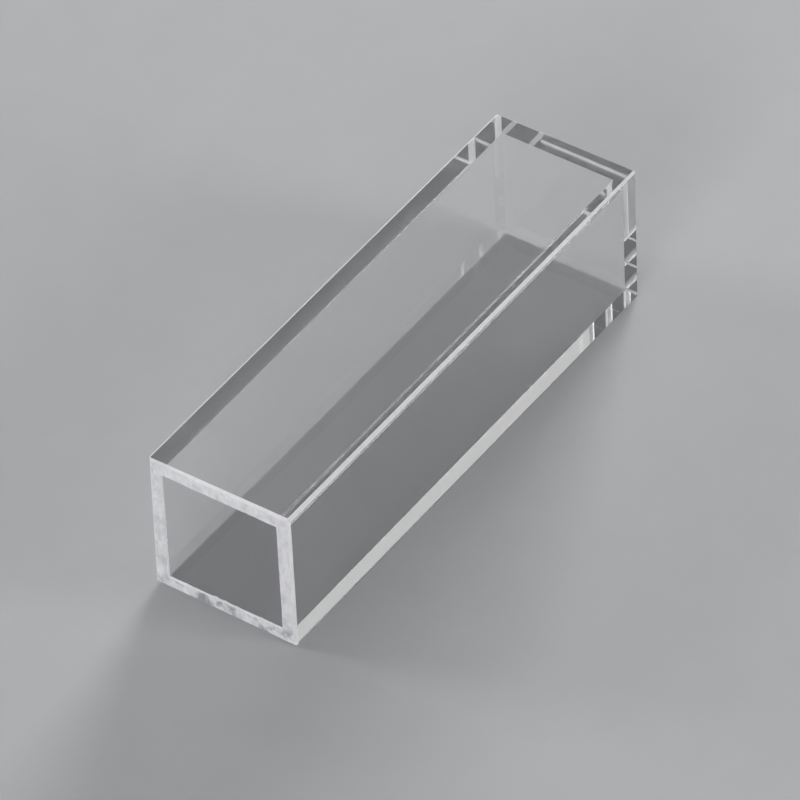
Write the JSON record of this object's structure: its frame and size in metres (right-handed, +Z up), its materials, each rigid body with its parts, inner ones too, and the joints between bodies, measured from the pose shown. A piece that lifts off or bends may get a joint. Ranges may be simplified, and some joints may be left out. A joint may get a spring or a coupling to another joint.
{
  "type": "cuvette",
  "caption": "Square clear glass cuvette, open at one end, with flat polished walls, a ground rim and bevelled edges; holds a liquid sample in a light beam.",
  "frame": {"origin": "on the surface that the cell lies on, below the middle of its box", "axes": "+Y along the length from the open rim to the base, +X along the light path between the windows, +Z up"},
  "size_m": [0.0126, 0.045, 0.0125],
  "materials": {
    "glass": "clear polished walls, fine-ground white rim and bevels"
  },
  "bodies": {
    "root": {"cuvette": "glass"}
  },
  "joints": []
}
